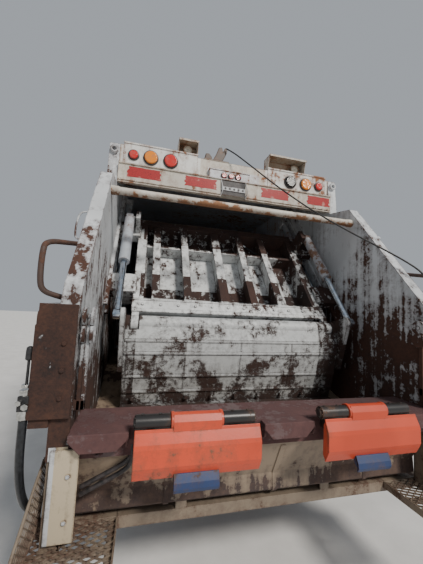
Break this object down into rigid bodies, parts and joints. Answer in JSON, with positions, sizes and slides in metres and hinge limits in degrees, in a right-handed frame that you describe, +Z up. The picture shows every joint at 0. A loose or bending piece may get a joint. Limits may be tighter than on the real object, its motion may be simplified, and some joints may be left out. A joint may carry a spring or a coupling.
{
  "type": "rear-loading garbage truck",
  "caption": "Rear-loading refuse truck: tilting cab, ribbed collector body, lifting tailgate with hopper, slide and sweep packer, and tipping plates for carts at the sill.",
  "frame": {"origin": "centre of the whole truck's plan box on the ground, under the wheels", "axes": "+X to the truck's right, +Y forward, +Z up"},
  "size_m": [2.76, 8.7, 3.22],
  "materials": {
    "chassis_black": "satin black, dusty",
    "engine_iron": "rough",
    "tank_metal": "brushed, dull",
    "guard_plastic": "matt",
    "bumper_paint": "worn satin",
    "body_paint": "faded, scratched",
    "cab_paint": "faded gloss",
    "gate_paint": "faded, chipped",
    "beam_paint": "dirty, rusted at the edges",
    "packer_paint": "peeling over rust",
    "hopper_steel": "worn bare and rusty",
    "step_steel": "worn to rusty steel",
    "lamp_lens": "clear coloured lens",
    "rod_chrome": "polished",
    "actuator_black": "greasy satin",
    "lifter_orange": "dusty, scuffed",
    "axle_iron": "oily",
    "tyre_rubber": "worn",
    "rim_paint": "dusty white",
    "window_glass": "clear",
    "seat_fabric": "woven",
    "dash_plastic": "grained"
  },
  "bodies": {
    "root": {"chassis_frame": "chassis_black", "powertrain": "engine_iron", "front_axle": "chassis_black", "rear_axle": "chassis_black", "side_tanks": "tank_metal", "mudguards": "guard_plastic", "bumper": "bumper_paint", "body_floor": "body_paint", "body_side_left": "body_paint", "body_side_right": "body_paint", "body_roof": "body_paint", "body_front": "body_paint", "head_lamps": "lamp_lens"},
    "cab": {"cab_body": "cab_paint", "cab_front": "cab_paint", "cab_roof": "cab_paint", "cab_glass": "window_glass", "cab_seats": "seat_fabric", "cab_dash": "dash_plastic", "cab_mirrors": "guard_plastic"},
    "door_left": {"door_left": "cab_paint", "door_glass_left": "window_glass"},
    "door_right": {"door_right": "cab_paint", "door_glass_right": "window_glass"},
    "knuckle_left": {"knuckle_left": "axle_iron"},
    "knuckle_right": {"knuckle_right": "axle_iron"},
    "front_wheel_left": {"front_tyre_left": "tyre_rubber", "front_rim_left": "rim_paint"},
    "front_wheel_right": {"front_tyre_right": "tyre_rubber", "front_rim_right": "rim_paint"},
    "rear_wheels_left": {"rear_tyres_left": "tyre_rubber", "rear_rims_left": "rim_paint"},
    "rear_wheels_right": {"rear_tyres_right": "tyre_rubber", "rear_rims_right": "rim_paint"},
    "lift_barrel_left": {"lift_barrel_left": "gate_paint"},
    "lift_barrel_right": {"lift_barrel_right": "gate_paint"},
    "lift_rod_left": {"lift_rod_left": "rod_chrome"},
    "lift_rod_right": {"lift_rod_right": "rod_chrome"},
    "tailgate": {"tailgate_wall_left": "gate_paint", "tailgate_wall_right": "gate_paint", "hopper_trough": "hopper_steel", "hopper_sill": "hopper_steel", "tailgate_roof": "beam_paint", "top_tube": "beam_paint", "rear_lamps": "lamp_lens", "rear_step": "step_steel", "slide_barrels": "gate_paint", "lifter_actuators": "actuator_black"},
    "slide": {"slide_panel": "packer_paint", "slide_rods": "rod_chrome"},
    "sweep": {"sweep_panel": "packer_paint"},
    "sweep_barrel_left": {"sweep_barrel_left": "gate_paint"},
    "sweep_barrel_right": {"sweep_barrel_right": "gate_paint"},
    "sweep_rod_left": {"sweep_rod_left": "rod_chrome"},
    "sweep_rod_right": {"sweep_rod_right": "rod_chrome"},
    "cart_lifter_left": {"cart_lifter_left": "lifter_orange"},
    "cart_lifter_right": {"cart_lifter_right": "lifter_orange"}
  },
  "joints": [
    {"name": "tailgate_lift", "type": "hinge", "parent": "root", "child": "tailgate", "pos_m": [0, -2, 3.19], "axis": [-1, 0, 0], "range_deg": [0, 85]},
    {"name": "packer_slide", "type": "slide", "parent": "tailgate", "child": "slide", "axis": [0, 0.6018, 0.7986], "range_m": [0, 0.55]},
    {"name": "packer_sweep", "type": "hinge", "parent": "slide", "child": "sweep", "pos_m": [0, -3.25, 1.52], "axis": [-1, 0, 0], "range_deg": [-25, 100]},
    {"name": "sweep_barrel_left_turn", "type": "hinge", "parent": "slide", "child": "sweep_barrel_left", "pos_m": [-0.938, -2.74284, 2.46885], "axis": [1, 0, 0], "range_deg": [-15, 20]},
    {"name": "sweep_rod_left_stroke", "type": "slide", "parent": "sweep_barrel_left", "child": "sweep_rod_left", "axis": [0, -0.6018, -0.7986], "range_m": [-0.3, 0.15]},
    {"name": "lift_barrel_left_turn", "type": "hinge", "parent": "root", "child": "lift_barrel_left", "pos_m": [-1.184, -1.05, 2.35], "axis": [1, 0, 0], "range_deg": [-35, 5]},
    {"name": "lift_rod_left_stroke", "type": "slide", "parent": "lift_barrel_left", "child": "lift_rod_left", "axis": [0, -0.9646, 0.2638], "range_m": [-0.02, 0.63]},
    {"name": "cart_lifter_left_turn", "type": "hinge", "parent": "tailgate", "child": "cart_lifter_left", "pos_m": [-0.48, -4.05, 1.134], "axis": [-1, 0, 0], "range_deg": [0, 140]},
    {"name": "steer_left", "type": "hinge", "parent": "root", "child": "knuckle_left", "pos_m": [-0.85, 3, 0.515], "axis": [0, 0, 1], "range_deg": [-35, 35]},
    {"name": "front_spin_left", "type": "hinge", "parent": "knuckle_left", "child": "front_wheel_left", "pos_m": [-1.03, 3, 0.515], "axis": [-1, 0, 0], "continuous": true},
    {"name": "rear_spin_left", "type": "hinge", "parent": "root", "child": "rear_wheels_left", "pos_m": [-0.924, -1.45, 0.515], "axis": [-1, 0, 0], "continuous": true},
    {"name": "door_left_swing", "type": "hinge", "parent": "cab", "child": "door_left", "pos_m": [-1.206, 3.981, 1.9], "axis": [0, 0, -1], "range_deg": [0, 65]},
    {"name": "sweep_barrel_right_turn", "type": "hinge", "parent": "slide", "child": "sweep_barrel_right", "pos_m": [0.938, -2.74284, 2.46885], "axis": [1, 0, 0], "range_deg": [-15, 20]},
    {"name": "sweep_rod_right_stroke", "type": "slide", "parent": "sweep_barrel_right", "child": "sweep_rod_right", "axis": [0, -0.6018, -0.7986], "range_m": [-0.3, 0.15]},
    {"name": "lift_barrel_right_turn", "type": "hinge", "parent": "root", "child": "lift_barrel_right", "pos_m": [1.184, -1.05, 2.35], "axis": [1, 0, 0], "range_deg": [-35, 5]},
    {"name": "lift_rod_right_stroke", "type": "slide", "parent": "lift_barrel_right", "child": "lift_rod_right", "axis": [0, -0.9646, 0.2638], "range_m": [-0.02, 0.63]},
    {"name": "cart_lifter_right_turn", "type": "hinge", "parent": "tailgate", "child": "cart_lifter_right", "pos_m": [0.48, -4.05, 1.134], "axis": [-1, 0, 0], "range_deg": [0, 140]},
    {"name": "steer_right", "type": "hinge", "parent": "root", "child": "knuckle_right", "pos_m": [0.85, 3, 0.515], "axis": [0, 0, 1], "range_deg": [-35, 35]},
    {"name": "front_spin_right", "type": "hinge", "parent": "knuckle_right", "child": "front_wheel_right", "pos_m": [1.03, 3, 0.515], "axis": [-1, 0, 0], "continuous": true},
    {"name": "rear_spin_right", "type": "hinge", "parent": "root", "child": "rear_wheels_right", "pos_m": [0.924, -1.45, 0.515], "axis": [-1, 0, 0], "continuous": true},
    {"name": "door_right_swing", "type": "hinge", "parent": "cab", "child": "door_right", "pos_m": [1.206, 3.981, 1.9], "axis": [0, 0, 1], "range_deg": [0, 65]},
    {"name": "cab_tilt", "type": "hinge", "parent": "root", "child": "cab", "pos_m": [0, 4.15, 0.88], "axis": [-1, 0, 0], "range_deg": [0, 45]}
  ],
  "couplings": [
    {"joint": "sweep_barrel_left_turn", "follows": "packer_sweep", "ratio": 0.06947},
    {"joint": "sweep_rod_left_stroke", "follows": "packer_sweep", "m_per_rad": -0.13691},
    {"joint": "lift_barrel_left_turn", "follows": "tailgate_lift", "ratio": -0.24311},
    {"joint": "lift_rod_left_stroke", "follows": "tailgate_lift", "m_per_rad": 0.4126},
    {"joint": "sweep_barrel_right_turn", "follows": "packer_sweep", "ratio": 0.06947},
    {"joint": "sweep_rod_right_stroke", "follows": "packer_sweep", "m_per_rad": -0.13691},
    {"joint": "lift_barrel_right_turn", "follows": "tailgate_lift", "ratio": -0.24311},
    {"joint": "lift_rod_right_stroke", "follows": "tailgate_lift", "m_per_rad": 0.4126},
    {"joint": "steer_right", "follows": "steer_left", "ratio": 1}
  ]
}
